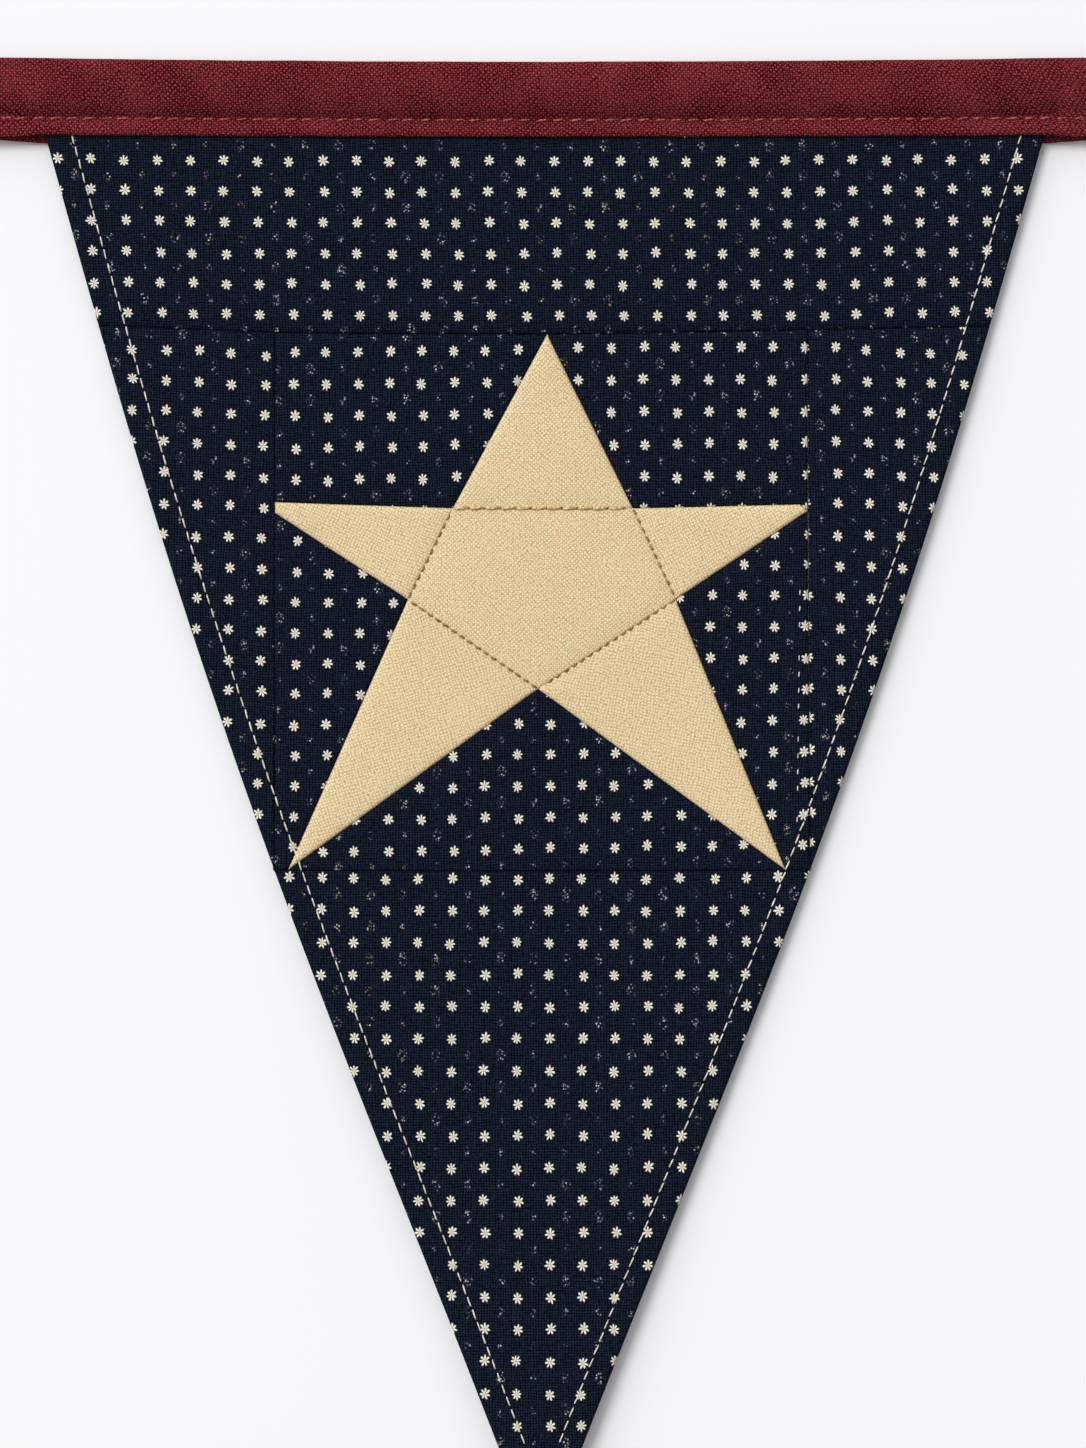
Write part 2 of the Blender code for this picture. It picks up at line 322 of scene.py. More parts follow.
def printedFlecks(tree, plan, swayed, look):
    # Pale flecks in loose clusters half-way between the flowers
    half = addNode(tree, "VectorMath ADD", {0: swayed, 1: (0.5, 0.5, 0)})
    chance, _, local = printCell(tree, half, 0.5)
    local = addNode(tree, "VectorMath MULTIPLY", {0: local, 1: look["clusterShape"]})
    away = addNode(tree, "VectorMath LENGTH", {0: local}, out=1)
    more, least = look["clusterSize"]
    spread = addNode(tree, "Math MULTIPLY_ADD", {0: chance, 1: more, 2: least})
    near = addNode(tree, "Math SUBTRACT", {0: spread, 1: away})
    ends, full = look["clusterEdge"]
    near = addNode(tree, "MapRange", {0: near, 1: ends, 2: full})
    dots = addNode(tree, "TexVoronoi", {"Vector": plan, "Scale": look["fleckRepeat"]}).node
    ends, full = look["fleckSize"]
    dot = addNode(tree, "MapRange", {0: dots.outputs["Distance"], 1: ends, 2: full})
    lucky = addNode(tree, "SeparateColor", {0: dots.outputs["Color"]})
    lucky = addNode(tree, "Math POWER", {0: lucky, 1: look["fleckRare"]})
    fleck = addNode(tree, "Math MULTIPLY", {0: dot, 1: lucky})
    return addNode(tree, "Math MULTIPLY", {0: fleck, 1: near})


def blend(tree, share, low, high):  # from one colour to another, each a hex code or a socket
    low, high = [linear(c) if isinstance(c, str) else c for c in (low, high)]
    return addNode(tree, "Mix", {0: share, 6: low, 7: high}, out=2, data_type="RGBA")


def printedCotton():
    look = navyLook
    material, tree, shader, plan = clothShader("printed_quilting_cotton", look)
    weave, crown, _ = plainWeave(tree, plan, look)
    sway = addNode(tree, "TexNoise", {"Vector": plan, "Scale": look["swayRepeat"], "Detail": 0.0}, out=1)
    sway = addNode(tree, "VectorMath SUBTRACT", {0: sway, 1: (0.5, 0.5, 0.5)})
    swayed = addNode(tree, "VectorMath MULTIPLY_ADD", {0: sway, 1: (look["sway"], look["sway"], 0), 2: plan})
    flower, outward = printedFlowers(tree, plan, swayed, look)
    fleck = printedFlecks(tree, plan, swayed, look)

    # painted shade in the holes of the weave, painted light on its crowns and sparks
    shade = addUp(tree, look["start"], (
        (threadTone(tree, plan, look), look["toneDepth"]), (threadSpark(tree, plan, look), look["sparkle"]),
        (crown, look["weaveDepth"])))
    ground = blend(tree, shade, look["hollow"], look["crown"])
    flecked = blend(tree, fleck, ground, look["fleck"])
    ink = blend(tree, outward, look["flowerHeart"], look["petal"])
    dressShader(tree, shader, blend(tree, flower, flecked, ink), weave, look["bump"])
    return material


def paintedShadeAcross(tree, plan, body, tones):
    # Painted shade and highlight: darkens or lightens the cloth by how far it lies from the fold: pairs of
    # (centimetres, brightness)
    reach = 2.0  # centimetres that the ramp spans
    parts = addNode(tree, "SeparateXYZ", {0: plan}).node
    away = addNode(tree, "Math ABSOLUTE", {0: parts.outputs[1]})
    away = addNode(tree, "Math MULTIPLY", {0: away, 1: 1 / reach})
    ramp = addNode(tree, "ValToRGB", {0: away}).node
    while len(ramp.color_ramp.elements) < len(tones):
        ramp.color_ramp.elements.new(1)
    for element, (place, level) in zip(ramp.color_ramp.elements, tones):
        element.position = place / reach
        element.color = (level, level, level, 1)
    return addNode(tree, "Mix", {0: 1.0, 6: body, 7: ramp.outputs[0]}, out=2, data_type="RGBA",
                   blend_type="MULTIPLY")


def plainCotton(name, look):
    # One colour of plain weave: painted shade darkens the holes between the threads and painted light
    # brightens the crowns
    material, tree, shader, plan = clothShader(name, look)
    weave, crown, onTop = plainWeave(tree, plan, look)
    worn = addNode(tree, "TexNoise", {"Vector": plan, "Scale": look["patchy"], "Detail": 2.0})
    start = look["start"] - (look["patchDepth"] + look["toneDepth"] + look["sparkle"]) / 2
    # warp and weft catch the light in turn
    lit = addNode(tree, "Mix", {0: look["turns"], 2: crown, 3: onTop})
    threads = addNode(tree, "MapRange", {0: lit, 1: look["from"], 2: look["to"]})
    shade = addUp(tree, start, (
        (worn, look["patchDepth"]), (threadSpark(tree, plan, look), look["sparkle"]),
        (threadTone(tree, plan, look), look["toneDepth"]), (threads, look["weaveDepth"])))
    body = blend(tree, shade, look["hollow"], look["crown"])
    if "across" in look:
        body = paintedShadeAcross(tree, plan, body, look["across"])
    dressShader(tree, shader, body, weave, look["bump"])
    return material


# Unbleached quilting cotton, plain weave: warm matt ecru with fine tan pits of painted shade between the
# threads.
creamLook = {
    "threads": 24.0,  # to the centimetre
    "wander": 2.6, "patchy": 0.9, "patchDepth": 0.1, "toneDepth": 0.15, "sparkle": 0.75,
    "turns": 0.6, "from": 0.15, "to": 0.7, "weaveDepth": 0.82, "start": 0.29,
    "hollow": "#8D6B38", "crown": "#F9E3B6", "roughness": 0.9, "shine": 0.1, "bump": 0.05,
}
# The same cloth's wrong side, a little duller where the light has not bleached it.
creamBackLook = dict(creamLook, hollow="#92774A", crown="#E6D0A4", patchDepth=0.3)
# The wrong side of the printed cotton: undyed threads show through, and the print hardly does.
navyBackLook = {
    "threads": 18.0, "wander": 1.0, "patchy": 1.2, "patchDepth": 0.3, "toneDepth": 0.5, "sparkle": 0.3,
    "turns": 0.3, "from": 0.1, "to": 0.9, "weaveDepth": 0.7, "start": 0.1,
    "hollow": "#0B111B", "crown": "#3E4656", "roughness": 0.95, "shine": 0.05, "bump": 0.05,
}
# Cotton tape dyed burgundy: round threads catch the light as small pale dots. Above its stitching the tape
# is drawn in and lies in its own shade, painted into its colour, and its lip below has a painted highlight.
tapeLook = {
    "threads": 21.0, "wander": 2.4, "patchy": 1.1, "patchDepth": 0.45, "toneDepth": 0.08, "sparkle": 0.7,
    "turns": 0.5, "from": 0.3, "to": 0.9, "weaveDepth": 0.85, "start": 0.08,
    # painted shade above the stitching and a painted highlight on the lip below
    "across": ((0.0, 0.92), (0.55, 0.88), (0.95, 0.76), (1.17, 0.55), (1.25, 0.83), (1.4, 0.95),
               (1.62, 0.88)),
    "hollow": "#3A0206", "crown": "#A94A4F", "roughness": 0.85, "shine": 0.0, "bump": 0.06,
}
# Two-ply sewing thread: smooth twisted cotton with a slight shine.
threadLook = {
    "twist": 2400.0,  # to the metre, about 0.4 mm each
    "tones": (0.35, 0.65), "roughness": 0.7, "shine": 0.15, "bump": 0.05,
}


def threadMaterial(name, dark, pale, look=threadLook):
    material, tree, shader = newMaterial(name, Roughness=look["roughness"], Specular_IOR_Level=look["shine"])
    place = addNode(tree, "TexCoord", {}, out=3)
    twist = addNode(tree, "TexNoise", {"Vector": place, "Scale": look["twist"], "Detail": 0.0})
    low, high = look["tones"]
    tone = addNode(tree, "MapRange", {0: twist, 1: low, 2: high})
    dressShader(tree, shader, blend(tree, tone, dark, pale), twist, look["bump"])
    return material


def depthShare(z):  # 0 at the tape's lower edge, 1 at the point
    return (-pennant["tapeHeight"] - z) / pennant["drop"]


def halfWidth(z):
    t = depthShare(z)
    bow = pennant["sideBow"] * math.sin(math.pi * t) * (1 - pennant["bowFade"] * t * t)
    return pennant["halfWidth"] * (1 - t) + bow


def sidePoint(side, z):
    return (pennant["middle"] + pennant["lean"] * max(0, depthShare(z)) + side * halfWidth(z), z)


def sideRun(side, high, low, step=8.0):
    count = math.ceil((high - low) / step)
    return [sidePoint(side, high + (low - high) * i / count) for i in range(count + 1)]


def tipHeight():
    z = -pennant["tapeHeight"] - pennant["drop"]
    while halfWidth(z) < pennant["halfTip"]:
        z += pennant["tipStep"]
    return z


def rise(x):
    return pennant["tapeRise"] * (x / pennant["riseReach"]) ** 2


def hang(x, z):  # how the whole pennant hangs out of flat, the same for every piece and stitch
    t = max(0, depthShare(z))
    y = pennant["pointSwing"] * t * t
    for height, length, slant, phase in pennant["waves"]:
        y += t * height * math.sin(2 * math.pi * (x + slant * z) / length + phase)
    for size, height in (cloth["unevenWide"], cloth["unevenFine"]):
        y += height * noise.noise(Vector((x / size, cloth["unevenLayer"], z / size)))
    return y


def nearestOn(points, x, z):  # distance to a side, and the direction into the piece there
    best = (1e9, 0, 0)
    for (ax, az), (bx, bz) in zip(points, points[1:]):
        dx, dz = bx - ax, bz - az
        length = math.hypot(dx, dz)
        along = min(1, max(0, ((x - ax) * dx + (z - az) * dz) / length ** 2))
        gap = math.hypot(x - ax - along * dx, z - az - along * dz)
        if gap < best[0] - 1e-7:
            best = (gap, -dz / length, dx / length)
    return best


def frontLevel(sides, x, z):  # y of the cloth's face before the pennant hangs
    crown, pucker, gaps = 1.0, 0.0, []
    size, height, puckerReach = cloth["pucker"]
    level = cloth["front"]
    highest = 0
    for kind, points in sides:
        gap = nearestOn(points, x, z)[0]
        gaps.append(gap)
        shape = sideKinds[kind]
        if kind == "raw":
            continue
        crown *= 1 - math.exp(-gap / shape["reach"])
        highest = max(highest, shape["crown"])
        level += shape["sink"] * math.exp(-gap / cloth["sinkReach"])
        pucker += math.exp(-gap / puckerReach)
        fold = hem if kind == "hem" else seamFold
        level -= fold["lift"] / (1 + math.exp((gap - fold["width"]) / fold["liftEnd"]))
        if kind == "hem":
            line = hem["stitchLine"][1 if x > 0 else -1]
            level += hem["groove"] * math.exp(-((gap - line) / hem["grooveReach"]) ** 2)
    level -= highest * crown
    level += height * min(1, pucker) * noise.noise(Vector((x / size, cloth["puckerLayer"], z / size)))
    for gap, (kind, _) in zip(gaps, sides):
        out = max(0, 1 - gap / sideKinds[kind]["roll"])
        turn = 1 - math.sqrt(1 - out * out)
        level = level * (1 - turn) + sideKinds[kind].get("seamY", cloth["seamY"]) * turn
    inside, takes = cloth["intoTape"]
    inTape = min(1, max(0, (z + pennant["tapeHeight"] - inside) / takes))
    return level * (1 - inTape) + cloth["inTapeY"] * inTape


def cutAcross(bm, spacing):  # cuts the flat piece along a grid so that it can bend
    for axis in (0, 2):
        places = [v.co[axis] for v in bm.verts]
        normal = Vector([float(i == axis) for i in range(3)])
        for step in range(math.ceil(min(places) / spacing), math.ceil(max(places) / spacing)):
            bmesh.ops.bisect_plane(bm, geom=bm.verts[:] + bm.edges[:] + bm.faces[:], dist=1e-4,
                                   plane_co=normal * step * spacing, plane_no=normal)


def underLimit(kind, points, sides, x, z, inX, inZ):
    # How far the fold behind may reach in from (x, z) before it meets the next side's fold
    limit = 1e9
    shortSide = 3  # too short to have a fold that is in the way
    for other, otherPoints in sides:
        if otherPoints is points or other == "raw" or (kind == "hem" and other != "hem"):
            continue
        gap, nx, nz = nearestOn(otherPoints, x, z)
        if other == "hem" and kind != "hem":
            limit = min(limit, max(0, (gap - hem["width"] - hem["clear"]) * 2))
        elif math.dist(otherPoints[0], otherPoints[-1]) > shortSide:
            limit = min(limit, gap / max(0.05, 1 - (nx * inX + nz * inZ)))
    return limit


def foldUnder(bm, side, sides, layers):
    kind, points = side
    home, into, plan = layers
    chain = [e for e in bm.edges if e.is_boundary
             and all(nearestOn(points, v.co.x, v.co.z)[0] < onLine for v in e.verts)]
    for v in {v for e in chain for v in e.verts}:
        _, nx, nz = nearestOn(points, v.co.x, v.co.z)
        v[home] = (v.co.x, v.co.z, underLimit(kind, points, sides, v.co.x, v.co.z, nx, nz))
        v[into] = (nx, nz, 0)
    folds, walked, last = [], 0, (0, cloth["seamY"])
    for step in sideKinds[kind].get("under", allowance):
        walked += math.dist(last, step)
        last = step
        made = bmesh.ops.extrude_edge_only(bm, edges=chain)["geom"]
        fresh = {v for v in made if isinstance(v, bmesh.types.BMVert)}
        chain = [e for e in made if isinstance(e, bmesh.types.BMEdge) and all(v in fresh for v in e.verts)]
        folds += [(v, step, walked) for v in fresh]
    for v, (inward, y), walked in folds:
        x, z, limit = v[home]
        nx, nz, _ = v[into]
        reach = min(inward, limit)
        v.co = (x + nx * reach, y, z + nz * reach)
        out = min(walked, limit + cloth["turnTakes"])
        v[plan] = (x - nx * out, 0, z - nz * out)


def layPlan(bm, plan, grain):
    # The UV map is the cloth laid flat, in steps of the print or of the weave's own unit
    *turns, across, down, middleX, middleZ = grain
    warp, weft = [math.radians(turn) for turn in turns]
    uv = bm.loops.layers.uv.new(uvName)
    for face in bm.faces:
        for loop in face.loops:
            x, z = loop.vert[plan].x - middleX, loop.vert[plan].z - middleZ
            u = (x * math.cos(warp) - z * math.sin(warp)) / across
            v = (x * math.sin(weft) + z * math.cos(weft)) / down
            loop[uv].uv = (u + 0.5, v + 0.5)


def makeObject(name, bm, materials):
    mesh = bpy.data.meshes.new(name)
    bm.to_mesh(mesh)
    bm.free()
    for material in materials:
        mesh.materials.append(material)
    obj = bpy.data.objects.new(name, mesh)
    bpy.context.scene.collection.objects.link(obj)
    return obj


faces = []  # every cloth face so far, for laying stitches on


def finishPiece(name, bm, materials, thickness):
    faces.append(BVHTree.FromBMesh(bm))
    bmesh.ops.scale(bm, vec=(mm, mm, mm), verts=bm.verts)
    obj = makeObject(name, bm, materials)
    obj.data.shade_smooth()
    shell = obj.modifiers.new("Thickness", "SOLIDIFY")
    shell.thickness = thickness * mm
    shell.offset = -1
    shell.material_offset = 1
    shell.material_offset_rim = 1
    return obj


def sewPiece(name, sides, materials):
    outline = [point for _, points in sides for point in points[:-1]]
    bm = bmesh.new()
    layers = [bm.verts.layers.float_vector.new(n) for n in ("home", "into", "plan")]
    plan = layers[2]
    face = bm.faces.new([bm.verts.new((x, 0, z)) for x, z in outline])
    face.normal_update()
    if face.normal.y > 0:  # sides run so that the piece lies on their left, seen from the front
        face.normal_flip()
    for ring in pennant["rings"]:
        face = next(f for f in bm.faces if len(f.verts) == len(outline))
        bmesh.ops.inset_region(bm, faces=[face], thickness=ring, use_boundary=True, use_even_offset=True)
    cutAcross(bm, pennant["mesh"])
    for v in bm.verts:
        v[plan] = v.co
    front = bm.verts[:]
    for side in sides:
        if side[0] != "raw":
            foldUnder(bm, side, sides, layers)
    for v in front:
        v.co.y = frontLevel(sides, v.co.x, v.co.z)
    bmesh.ops.remove_doubles(bm, verts=bm.verts[:], dist=weldDistance)
    layPlan(bm, plan, grains[name])
    for v in bm.verts:
        v.co.y += hang(v.co.x, v.co.z)
        v.co.z += rise(v.co.x)
    piece = finishPiece(name + "_cloth", bm, materials, cloth["thickness"])
    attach(piece, "root")
    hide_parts(name)
    return piece


def outlineSides(names, kinds, at):
    names, kinds = names.split(), kinds.split()
    points = [at[name] for name in names]
    sides = [(kind, [a, b]) for kind, a, b in zip(kinds, points, points[1:] + points[:1])]
    area = sum(a[0] * b[1] - b[0] * a[1] for a, b in zip(points, points[1:] + points[:1]))
    if area < 0:
        sides = [(kind, run[::-1]) for kind, run in sides[::-1]]
    return sides


# The tape: the front leaf's and the back leaf's faces, as (below the fold, out from the middle), going down,
# round the lower edge and back up inside. The stitch line pulls both leaves in.
tape = {
    "length": 250.0,
    "turnedEnd": 6.0,
    "turnedIn": (0.6, 0.42),  # length of the turn, and how much further in the turned end lies
    "thickness": 0.3,
    "stepsAlong": 230,
    "stepsDown": 46,  # on each leaf
    "front": ((0, 0), (0.12, 0.6), (0.5, 1.1), (1.3, 1.5), (3.0, 1.76), (5.6, 1.86), (8.0, 1.76),
              (9.6, 1.5), (10.7, 1.12), (11.3, 0.9), (11.7, 1.08), (12.3, 1.46), (13.2, 1.7), (14.1, 1.66),
              (14.55, 1.44), (14.7, 1.18), (14.5, 0.98), (13.6, 0.93), (12.4, 0.8), (11.3, 0.58),
              (10.2, 0.76), (9.4, 0.88)),
    "back": ((0, 0), (0.12, 0.6), (0.5, 1.1), (1.3, 1.48), (3.0, 1.7), (6.0, 1.8), (8.6, 1.7),
             (10.2, 1.48), (11.4, 1.12), (12.4, 1.46), (13.9, 1.64), (15.0, 1.6), (15.45, 1.4),
             (15.6, 1.16), (15.4, 0.97), (14.4, 0.92), (12.9, 0.86), (11.4, 0.72), (10.0, 0.84)),
    "stitchDepth": 11.35,
    # out from the middle, how thick the front and the back are there as a share of full, and how much lower
    # the front's and the back's edge hang
    "fullness": ((0, 1, 1, 0, 0), (86, 1, 1, 0, 0), (90, 1, 1.24, 0, 0),
                 (96, 1.05, 1.24, 0, 0.13), (100, 0.72, 0.7, 0.35, 0.02), (104, 0.62, 0.65, 0.5, -0.16),
                 (108, 0.55, 0.62, 0.5, -0.16), (118, 0.55, 0.62, 0.5, -0.16), (125, 0.65, 0.7, 0.5, -0.16)),
    # where the front is drawn in at the pennant's corners: place, below the fold, half sizes, depth
    "dimples": ((97.9, 11.2, 1.1, 1.6, 0.6), (98.8, 7.0, 2.0, 4.5, 0.35), (-93.2, 9.0, 1.4, 3.2, 0.26)),
    "lowerRise": 0.5,  # of the rise of its top edge: the tape is a little wider towards its ends
    # unevenness: size along, size down, height, and a place of its own in the noise
    "limp": (13, 9, 0.15, 5.2),
    "fine": (3.1, 3.5, 0.04, 1.3),
    "dents": (1.9, 1, 0.13, 7.7),  # beside the stitches, as far as dentReach
    "dentReach": 1.2,
    "topWave": (11, 1, 0.07, 0.4),
    "grainSlant": (0.06, 0.5, 85, 14),  # its least, and how much more past where, over what length
}


def fullness(x):
    rows = tape["fullness"]
    out = min(abs(x), rows[-1][0])
    for near, far in zip(rows, rows[1:]):
        if out <= far[0]:
            share = (out - near[0]) / (far[0] - near[0])
            share = share * share * (3 - 2 * share)
            return [a + (b - a) * share for a, b in zip(near[1:], far[1:])]


def uneven(kind, along, down):
    long, tall, height, layer = tape[kind]
    return height * noise.noise(Vector((along / long, layer, down / tall)))


def walkLine(points, steps):  # evenly spaced places along a section, with the distance walked
    lengths = [0]
    for a, b in zip(points, points[1:]):
        lengths.append(lengths[-1] + math.dist(a, b))
    places = []
    for i in range(steps + 1):
        walked = lengths[-1] * i / steps
        k = max(j for j in range(len(points) - 1) if lengths[j] <= walked + 1e-9)
        share = (walked - lengths[k]) / (lengths[k + 1] - lengths[k])
        places.append((*[p + (q - p) * share for p, q in zip(points[k], points[k + 1])], walked))
    return places


def smoothLine(points, rounds=2):  # cuts the corners of a section, keeping its ends
    for _ in range(rounds):
        cut = [points[0]]
        for a, b in zip(points, points[1:]):
            cut += [tuple(p + (q - p) * share for p, q in zip(a, b)) for share in (0.25, 0.75)]
        points = cut + [points[-1]]
    return points


def tapePoint(x, side, below, out, walked):  # where a place of the flat tape comes to lie
    turned = max(0, abs(x) - tape["length"] / 2)
    place = math.copysign(abs(x) - 2 * turned, x)
    full, hangs = fullness(place)[0 if side < 0 else 1::2]
    turn, further = tape["turnedIn"]
    out = out * full - further * min(1, turned / turn) * min(1, out)
    beside = math.exp(-((below - tape["stitchDepth"]) / tape["dentReach"]) ** 2)
    soft = uneven("limp", place, side * walked) + uneven("fine", place, side * walked)
    out += min(1, out) * (soft + beside * uneven("dents", place, side))
    for middle, deep, wide, tall, depth in tape["dimples"] if side < 0 else ():
        near = math.exp(-((place - middle) / wide) ** 2 - ((below - deep) / tall) ** 2)
        out -= min(1, out) * depth * near
    lift = rise(place) * (1 - (1 - tape["lowerRise"]) * below / pennant["tapeHeight"])
    lift += uneven("topWave", place, 2)
    lift -= hangs * (below / pennant["tapeHeight"]) ** 8  # hardly above the stitches
    return (place, side * out, lift - below)


def makeTape(material):
    leaves = [walkLine(smoothLine(tape[leaf]), tape["stepsDown"]) for leaf in ("front", "back")]
    section = [(-1, *place) for place in leaves[0][::-1]] + [(1, *place) for place in leaves[1][1:]]
    half = tape["length"] / 2 + tape["turnedEnd"]
    bm = bmesh.new()
    plan = bm.verts.layers.float_vector.new("plan")
    bmesh.ops.create_grid(bm, x_segments=tape["stepsAlong"], y_segments=len(section) - 1, size=0.5)
    for v in bm.verts:
        x = v.co.x * 2 * half
        side, below, out, walked = section[round((v.co.y + 0.5) * (len(section) - 1))]
        v[plan] = (x, 0, side * walked)
        v.co = tapePoint(x, side, below, out, walked)
    bmesh.ops.recalc_face_normals(bm, faces=bm.faces)
    top = max(bm.faces, key=lambda f: f.calc_center_median().z)
    if top.normal.z < 0:
        bmesh.ops.reverse_faces(bm, faces=bm.faces)
    uv = bm.loops.layers.uv.new(uvName)
    least, more, start, over = tape["grainSlant"]
    for face in bm.faces:
        for loop in face.loops:
            x, _, down = loop.vert[plan]
            slant = least + more / (1 + math.exp(-(x - start) / over))
            loop[uv].uv = ((x + slant * down) / 10, down / 10)  # the weave is counted in centimetres
    piece = finishPiece("tape_cloth", bm, [material, material], tape["thickness"])
    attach(piece, "root")
    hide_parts("tape")


stitch = {
    "sides": 6, "rings": 6,
    "rayFrom": 30,  # well outside the cloth, for finding its face
    "turn": 2.5,  # degrees that one may lie askew
    "uneven": 0.1,  # of its width
    "stray": 0.06,  # of the pitch
}


def faceAt(x, z, side, cloths):  # y of the outermost cloth at (x, z), from the front (-1) or the back (1)
    start = Vector((x, side * stitch["rayFrom"], z))
    hits = [tree.ray_cast(start, Vector((0, -side, 0)))[0] for tree in cloths]
    return max((hit.y * side for hit in hits if hit), default=0) * side


def layStitches(name, lines, cloths, thread, material, seed):
    # One short bent length of thread for each stitch, its ends going down into the cloth
    chance = random.Random(seed)
    bm = bmesh.new()
    for line, side in lines:
        for (ax, az), (bx, bz) in line:
            x, z = (ax + bx) / 2, (az + bz) / 2
            y = faceAt(x, z, side, cloths)
            half = math.dist((ax, az), (bx, bz)) / 2
            askew = thread["slant"] * side + chance.uniform(-stitch["turn"], stitch["turn"])
            angle = math.atan2(bz - az, bx - ax) + math.radians(askew)
            wide = thread["width"] / 2 * chance.uniform(1 - stitch["uneven"], 1 + stitch["uneven"])
            grain = bmesh.ops.create_uvsphere(bm, u_segments=stitch["sides"], v_segments=stitch["rings"],
                                              radius=1)["verts"]
            for v in grain:
                along, across, out = v.co.z, v.co.x, v.co.y
                full = max(1e-6, 1 - along * along) ** 0.5
                plump = (1 - along ** 4) ** 0.5 / full if abs(along) < 0.999 else 0
                dip = thread["dip"] * along ** 4
                px, pz = along * half, across * wide * plump
                v.co = (x + px * math.cos(angle) - pz * math.sin(angle),
                        y + side * (out * wide * plump + thread["proud"] - dip),
                        z + px * math.sin(angle) + pz * math.cos(angle))
    bmesh.ops.recalc_face_normals(bm, faces=bm.faces)
    bmesh.ops.scale(bm, vec=(mm, mm, mm), verts=bm.verts)
    obj = makeObject(name, bm, [material])
    obj.data.shade_smooth()
    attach(obj, "root")


def stitchRun(points, thread, seed):  # the ends of each stitch along a line
    chance = random.Random(seed)
    pitch, length = thread["pitch"], thread["length"]
    total = sum(math.dist(a, b) for a, b in zip(points, points[1:]))
    stitches = []
    for place in range(int(total / pitch)):
        centre = (place + 0.5) * pitch + chance.uniform(-stitch["stray"], stitch["stray"]) * pitch
        ends = []
        for distance in (centre - length / 2, centre + length / 2):
            left = distance
            for a, b in zip(points, points[1:]):
                step = math.dist(a, b)
                if left <= step or b == points[-1]:
                    ends.append((a[0] + (b[0] - a[0]) * left / step, a[1] + (b[1] - a[1]) * left / step))
                    break
                left -= step
        stitches.append(ends)
    return stitches


print("materials")
navyCloth = [printedCotton(), plainCotton("printed_cotton_wrong_side", navyBackLook)]
creamCloth = [plainCotton("unbleached_cotton", creamLook),
              plainCotton("unbleached_cotton_wrong_side", creamBackLook)]
burgundy = plainCotton("dyed_cotton_tape", tapeLook)
creamThread = threadMaterial("ecru_sewing_thread", "#CDC4AC", "#F4EFE2")
tanThread = threadMaterial("tan_sewing_thread", "#75572F", "#B08D57")
ochreThread = threadMaterial("ochre_sewing_thread", "#B8945A", "#EBD29E")
burgundyThread = threadMaterial("burgundy_sewing_thread", "#7E2C31", "#C06A6E")

print("tape")
makeTape(burgundy)

print("navy pieces")
tip = tipHeight()
foldTop = -pennant["tapeHeight"] + pennant["inFold"]
at = dict(corners, blockLowLeft=sidePoint(-1, blockSeam), blockLowRight=sidePoint(1, blockSeam))


def band(high, lows, between, topKind, lowKind):
    # The sides of a piece that spans the pennant, counter-clockwise
    left, right = sideRun(-1, high, lows[0]), sideRun(1, high, lows[1])[::-1]
    low = [left[-1], *between, right[0]]
    return [("hem", left), (lowKind, low), ("hem", right), (topKind, [right[-1], left[0]])]


leftTop, tipTop, rightTop = at["blockTopLeft"], at["topTip"], at["blockTopRight"]
leftRun = sideRun(-1, stripEnds[0], blockSeam)
rightRun = sideRun(1, stripEnds[1], blockSeam)[::-1]
bigPieces = (
    ("top_strip", band(foldTop, stripEnds, [leftTop, tipTop, rightTop], "raw", "seam")),
    ("left_side", [("hem", leftRun), ("flat", [leftRun[-1], leftTop]), ("seam", [leftTop, leftRun[0]])]),
    ("right_side",
     [("hem", rightRun), ("seam", [rightRun[-1], rightTop]), ("flat", [rightTop, rightRun[0]])]),
    ("tip_piece", band(blockSeam, (tip, tip), [], "flat", "raw")),
)
sewnPieces = [sewPiece(name, sides, navyCloth) for name, sides in bigPieces]

print("star block")
for name, colour, names, kinds in blockPieces:
    materials = navyCloth if colour == "navy" else creamCloth
    sewnPieces.append(sewPiece(name, outlineSides(names, kinds, at), materials))

print("stitches")
# pitch is from one stitch to the next, proud how far it stands out, dip how deep its ends go
edgeThread = {"pitch": 2.55, "length": 2.2, "width": 0.31, "proud": 0.12, "dip": 0.34, "slant": 3.0}
tapeThread = {"pitch": 3.2, "length": 2.3, "width": 0.38, "proud": 0.16, "dip": 0.4, "slant": -6.0}
endThread = dict(tapeThread, pitch=2.6, length=1.9)
seamThread = {"pitch": 1.85, "length": 1.3, "width": 0.46, "proud": 0.3, "dip": 0.36, "slant": -9.0}
topSeamThread = {"pitch": 2.95, "length": 2.7, "width": 0.7, "proud": 0.36, "dip": 0.3, "slant": -5.0}
# short dark pieces between the long stitches, painted shade of their holes
paintedShadeThread = dict(topSeamThread, length=0.75)
strayThread = dict(edgeThread, pitch=3.1, length=1.3, width=0.24, proud=0.05)
stitchPlaces = {
    "edge": (1.5, 11.5),  # how far into the tape and above the point it ends
    "tapeEnd": 1.5,  # from the tape's end
    "tapeRise": 0.6,  # of the rise of its top edge
    "turnedEnd": 121.0, "turnedRun": (-0.9, -13.6),  # the short lines that close its ends
    "stray": ((1.5, -100.0), (2.1, -147.5)),  # inwards from the seam, and down, at both ends
    "strayMiss": (5, 3),  # every fifth one is missing
}


def edgeLine(side):  # the topstitching down one slanted side
    inTape, aboveTip = stitchPlaces["edge"]
    run = sideRun(side, inTape - pennant["tapeHeight"], tip + aboveTip, 4.0)
    line = []
    for a, b in zip(run, run[1:]):
        length = math.dist(a, b)
        inward = hem["stitchLine"][side] * side / length
        line.append((a[0] + (b[1] - a[1]) * inward, a[1] - (b[0] - a[0]) * inward + rise(a[0])))
    return line


